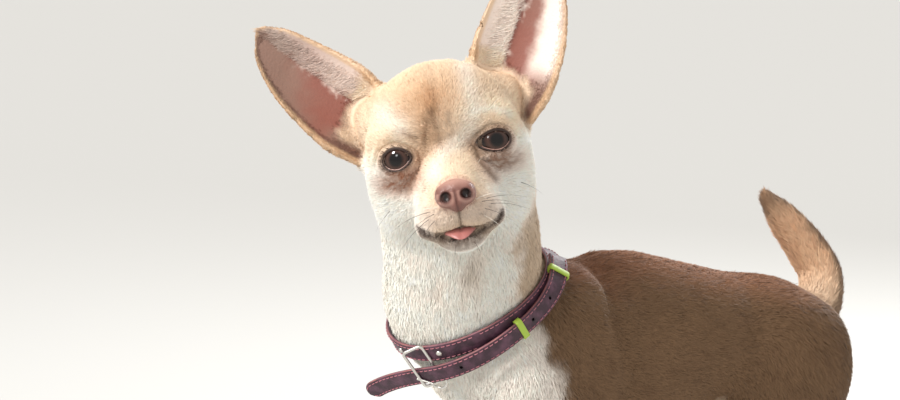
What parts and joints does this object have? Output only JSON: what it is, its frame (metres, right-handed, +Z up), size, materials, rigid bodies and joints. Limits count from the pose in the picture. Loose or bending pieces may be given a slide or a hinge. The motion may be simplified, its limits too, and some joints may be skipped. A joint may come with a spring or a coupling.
{
  "type": "chihuahua",
  "caption": "Life-size standing smooth-coated chihuahua, head turned and tilted, large pricked ears, tail curled up, wearing a buckled leather collar with a ring.",
  "frame": {"origin": "on the floor under the middle of the model's bounding box", "axes": "+Z up, the body faces -Y, +X is the dog's left side"},
  "size_m": [0.143, 0.3298, 0.359],
  "materials": {
    "coat": "short fawn and cream fur",
    "claw": "semi-gloss horn",
    "whisker": "stiff dark hair",
    "eye": "wet gloss",
    "nose": "moist pebbled skin",
    "tongue": "moist",
    "collar_leather": "worn dark plum leather with pink stitching",
    "collar_metal": "worn bright steel",
    "keeper": "satin yellow-green"
  },
  "bodies": {
    "root": {"head": "coat", "neck": "coat", "torso": "coat", "tail": "coat", "foreleg_left": "coat", "foreleg_right": "coat", "hindleg_left": "coat", "hindleg_right": "coat", "ear_left": "coat", "ear_right": "coat", "eye_left": "eye", "eye_right": "eye", "nose": "nose", "tongue": "tongue", "collar_band": "collar_leather", "collar_strap": "collar_leather", "collar_buckle": "collar_metal", "collar_ring": "collar_metal", "collar_rivet_left": "collar_metal", "collar_rivet_right": "collar_metal", "collar_keeper_front": "keeper", "collar_keeper_back": "keeper"}
  },
  "joints": []
}
